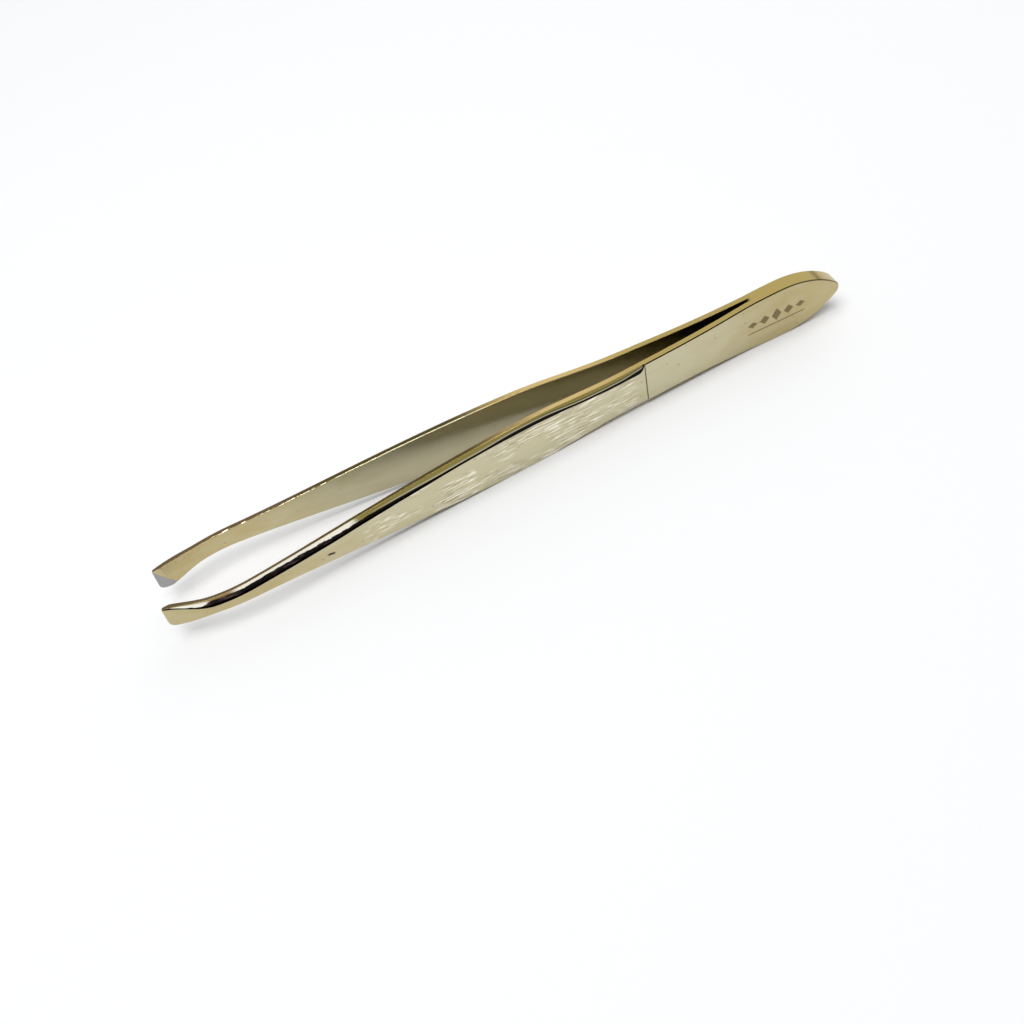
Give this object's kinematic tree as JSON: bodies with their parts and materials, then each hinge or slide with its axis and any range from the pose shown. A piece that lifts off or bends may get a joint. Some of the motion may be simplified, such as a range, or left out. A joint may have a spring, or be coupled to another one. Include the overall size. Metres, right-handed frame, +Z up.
{
  "type": "slant tweezers",
  "caption": "Spring tweezers with two sheet-metal arms welded to a spacer in a leaf-shaped tail, a bevelled grip and inward-bent slanted tips with ground gripping pads.",
  "frame": {"origin": "under the middle of the tweezers' length, in the middle plane between the arms, on the surface that they stand on when lying on their long edges", "axes": "+X along the tweezers from the tips to the tail, Y across the opening between the arms (the left arm is at -Y, the right arm at +Y), +Z up along the width of the arms"},
  "size_m": [0.095, 0.01, 0.0083],
  "materials": {
    "gold_satin": "thin pale gold plating on stainless steel, satin, finely speckled",
    "gold_polished": "thin pale gold plating on stainless steel, mirror polished over ground streaks, bare steel on the gripping pads"
  },
  "bodies": {
    "tail": {"left_tail": "gold_satin", "right_tail": "gold_satin", "leaf_spacer": "gold_satin"},
    "left_arm": {"left_arm": "gold_polished"},
    "right_arm": {"right_arm": "gold_polished"}
  },
  "joints": [
    {"name": "left_arm_flex", "type": "hinge", "parent": "tail", "child": "left_arm", "pos_m": [0.0188, -0.00112, 0.00415], "axis": [0, 0, -1], "range_deg": [0, 2.5], "stiffness_Nm_per_rad": 2},
    {"name": "right_arm_flex", "type": "hinge", "parent": "tail", "child": "right_arm", "pos_m": [0.0188, 0.00112, 0.00415], "axis": [0, 0, 1], "range_deg": [0, 2.5], "stiffness_Nm_per_rad": 2}
  ],
  "couplings": [
    {"joint": "right_arm_flex", "follows": "left_arm_flex", "ratio": 1}
  ]
}
